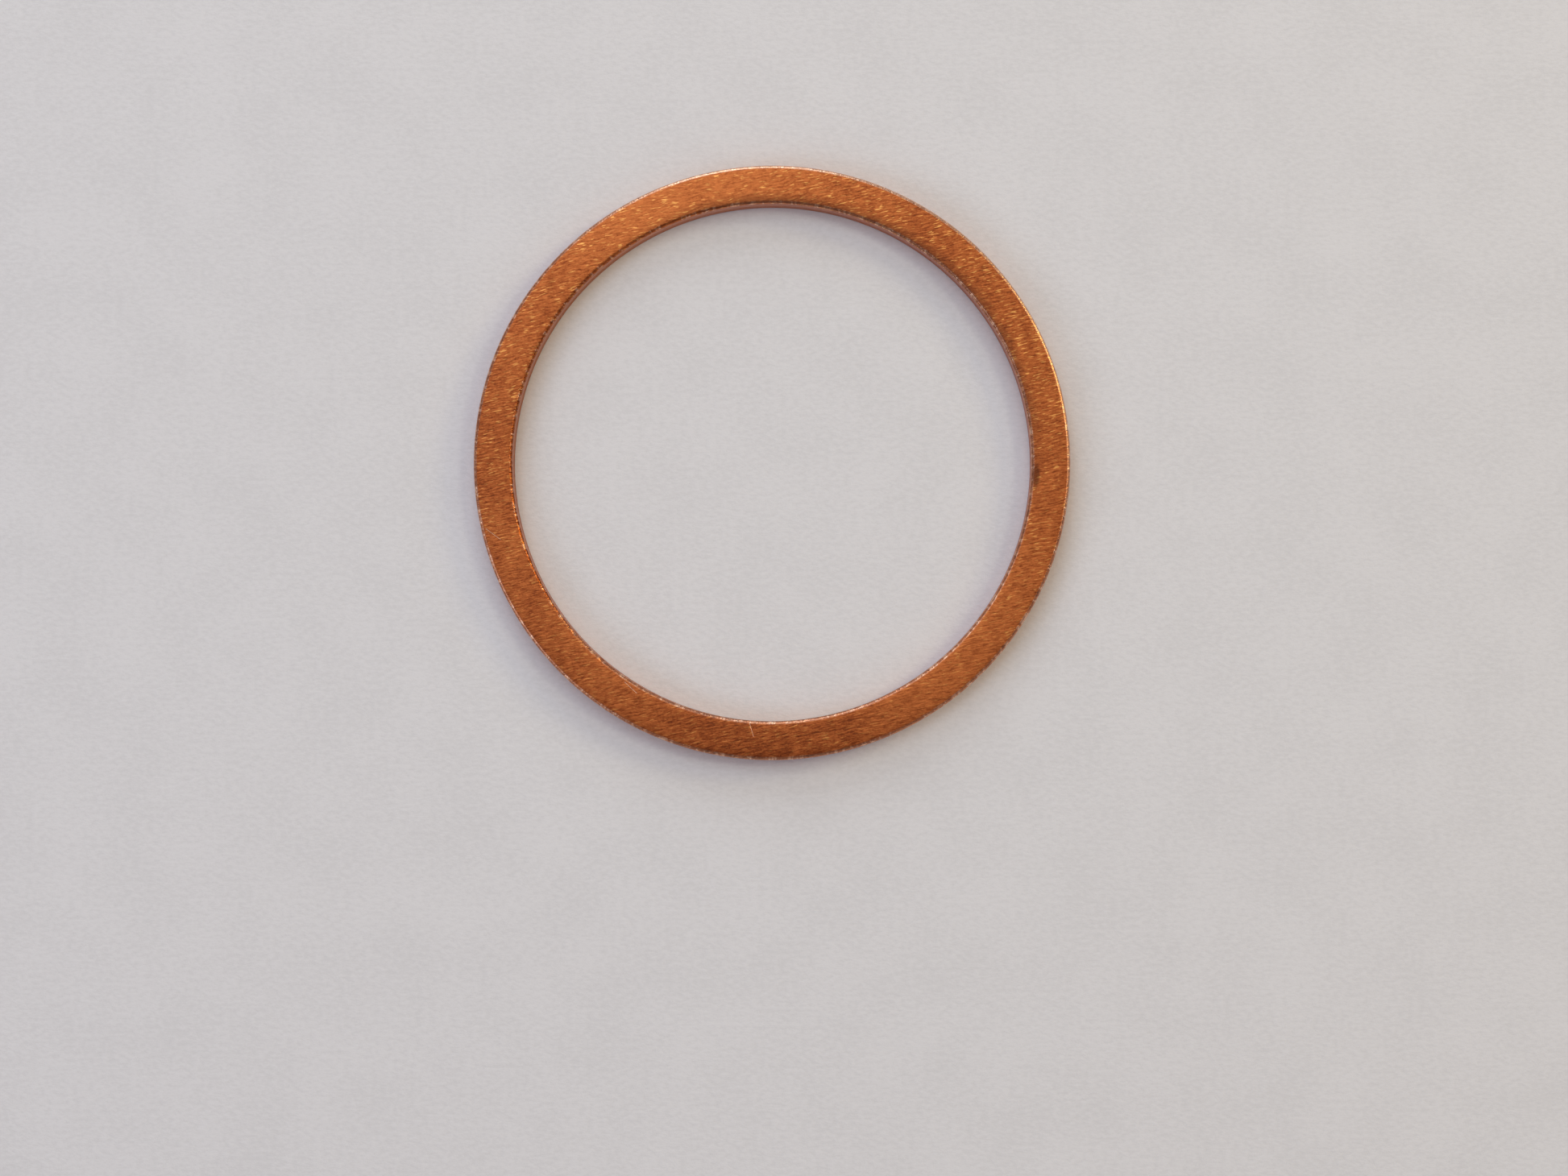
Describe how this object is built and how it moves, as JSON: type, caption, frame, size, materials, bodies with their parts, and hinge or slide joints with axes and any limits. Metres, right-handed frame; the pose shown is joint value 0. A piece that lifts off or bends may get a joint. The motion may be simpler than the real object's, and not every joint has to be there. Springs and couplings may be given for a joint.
{
  "type": "sealing ring",
  "caption": "Thin flat copper sealing washer with a wide plain bore, clamped between two faces to seal a threaded plug or union.",
  "frame": {"origin": "centre of the bore at the lower face", "axes": "+Z along the bore axis, out of the upper face, whose edges are the more rounded ones; X and Y lie in the face and are interchangeable"},
  "size_m": [0.0439, 0.0438, 0.002],
  "materials": {
    "copper": "satin"
  },
  "bodies": {
    "root": {"sealing_ring": "copper"}
  },
  "joints": []
}
